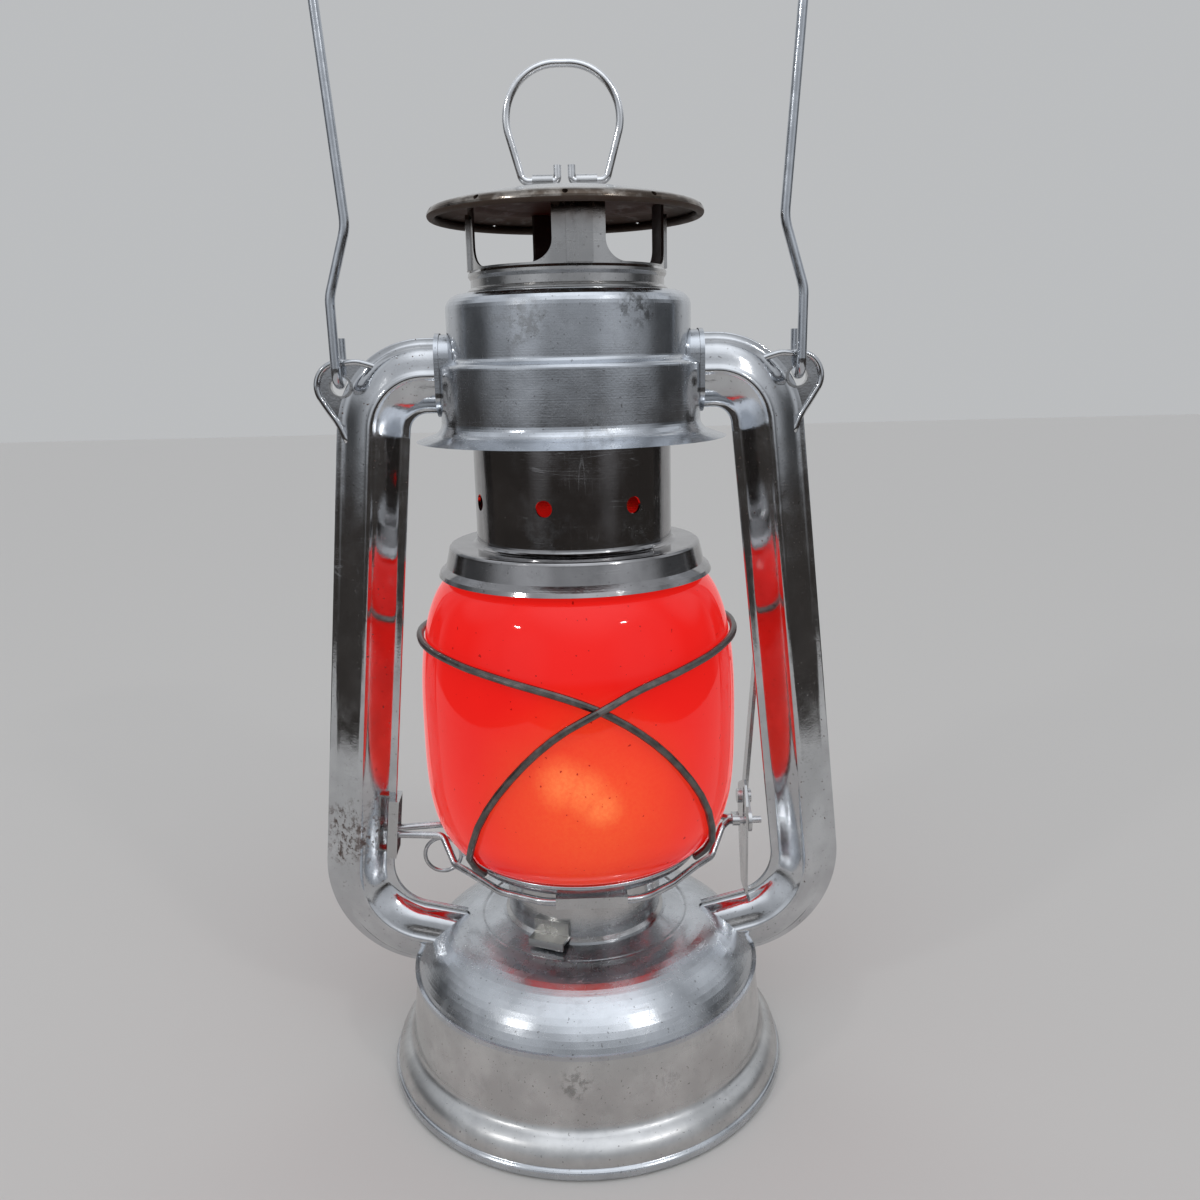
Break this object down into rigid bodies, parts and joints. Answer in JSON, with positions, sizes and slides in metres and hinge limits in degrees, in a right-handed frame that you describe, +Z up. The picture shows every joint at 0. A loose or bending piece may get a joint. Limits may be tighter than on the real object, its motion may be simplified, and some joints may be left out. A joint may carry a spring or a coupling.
{
  "type": "hurricane lantern",
  "caption": "Wick-burning hurricane lantern of pressed tin with a red globe in a wire guard, side tubes, a lever-lifted globe and a swinging bail; it stands or hangs.",
  "frame": {"origin": "centre of the base's bottom face, on the floor the lantern stands on", "axes": "+Z up, front facing -Y, side tubes along X with the lift lever at +X and the wick knob at -X"},
  "size_m": [0.1746, 0.1352, 0.4149],
  "materials": {
    "tin_satin": "satin tinned sheet, finely scratched",
    "tin_mirror": "bright tinned sheet",
    "tin_bright": "bright tinned sheet with small scratches",
    "bright_wire": "tinned wire",
    "dark_wire": "darkened wire",
    "sooted_tin": "tinned sheet browned by soot",
    "red_glass": "glossy opaque red",
    "wheel_brass": "dull",
    "wick_cotton": "woven",
    "gasket_rubber": "matt"
  },
  "bodies": {
    "lantern_frame": {"base_plate": "tin_satin", "base_skirt": "tin_mirror", "tank_top": "tin_satin", "filler_neck": "tin_bright", "burner_collar": "tin_satin", "burner_base": "tin_satin", "burner_drum": "tin_satin", "burner_catch": "tin_bright", "wick_tube": "tin_satin", "burner_cone": "tin_satin", "left_tube_front": "tin_bright", "left_tube_back": "tin_bright", "right_tube_front": "tin_bright", "right_tube_back": "tin_bright", "ear_eyelets": "tin_bright", "hood": "tin_satin", "chimney_spring": "dark_wire", "guide_bracket": "tin_bright", "lever_bracket": "tin_bright", "lever_rivet": "tin_bright"},
    "globe_carrier": {"globe_plate": "tin_satin", "carrier_wire_front": "bright_wire", "carrier_wire_back": "bright_wire", "carrier_clips": "tin_bright", "carrier_splice": "tin_bright", "guard_wire_left": "dark_wire", "guard_wire_right": "dark_wire", "globe": "red_glass"},
    "chimney": {"globe_collar": "tin_satin", "flue_tube": "sooted_tin", "crown": "tin_satin", "cap": "sooted_tin", "ring_clips": "tin_bright"},
    "cap_ring": {"cap_ring": "bright_wire"},
    "bail": {"bail": "bright_wire"},
    "lift_lever": {"lift_lever": "tin_bright"},
    "wick_knob": {"wick_spindle": "bright_wire", "wick_wheels": "wheel_brass"},
    "wick": {"wick": "wick_cotton"},
    "filler_gasket": {"filler_gasket": "gasket_rubber"},
    "filler_cap": {"filler_cap": "tin_bright"}
  },
  "joints": [
    {"name": "globe_lift", "type": "slide", "parent": "lantern_frame", "child": "globe_carrier", "axis": [0, 0, 1], "range_m": [0, 0.01]},
    {"name": "chimney_lift", "type": "slide", "parent": "globe_carrier", "child": "chimney", "axis": [0, 0, 1], "range_m": [0, 0.014], "stiffness_N_per_m": 150, "springref_m": -0.01, "deforming": ["chimney_spring"]},
    {"name": "lift_lever_turn", "type": "hinge", "parent": "lantern_frame", "child": "lift_lever", "pos_m": [0.0563, 0.009, 0.0882], "axis": [1, 0, 0], "range_deg": [-58.3, 0]},
    {"name": "bail_swing", "type": "hinge", "parent": "lantern_frame", "child": "bail", "pos_m": [0, 0, 0.2368], "axis": [1, 0, 0], "range_deg": [-105, 105]},
    {"name": "cap_ring_swing", "type": "hinge", "parent": "chimney", "child": "cap_ring", "pos_m": [0, 0, 0.2895], "axis": [1, 0, 0], "range_deg": [-92, 92]},
    {"name": "wick_knob_turn", "type": "hinge", "parent": "lantern_frame", "child": "wick_knob", "pos_m": [-0.0486, 0.0053, 0.0715], "axis": [1, 0, 0], "range_deg": [-45, 120]},
    {"name": "wick_rise", "type": "slide", "parent": "lantern_frame", "child": "wick", "axis": [0, 0, 1], "range_m": [-0.0079, 0.0029]},
    {"name": "filler_cap_rise", "type": "slide", "parent": "lantern_frame", "child": "filler_gasket", "axis": [0, 0.5736, 0.8192], "range_m": [0, 0.00601]},
    {"name": "filler_cap_turn", "type": "hinge", "parent": "filler_gasket", "child": "filler_cap", "pos_m": [0, 0.04705, 0.0485], "axis": [0, 0.5736, 0.8192], "range_deg": [0, 720]}
  ],
  "couplings": [
    {"joint": "lift_lever_turn", "follows": "globe_lift", "rad_per_m": -101.42},
    {"joint": "wick_knob_turn", "follows": "wick_rise", "rad_per_m": -263.16},
    {"joint": "filler_cap_rise", "follows": "filler_cap_turn", "m_per_rad": 0.00047746}
  ]
}
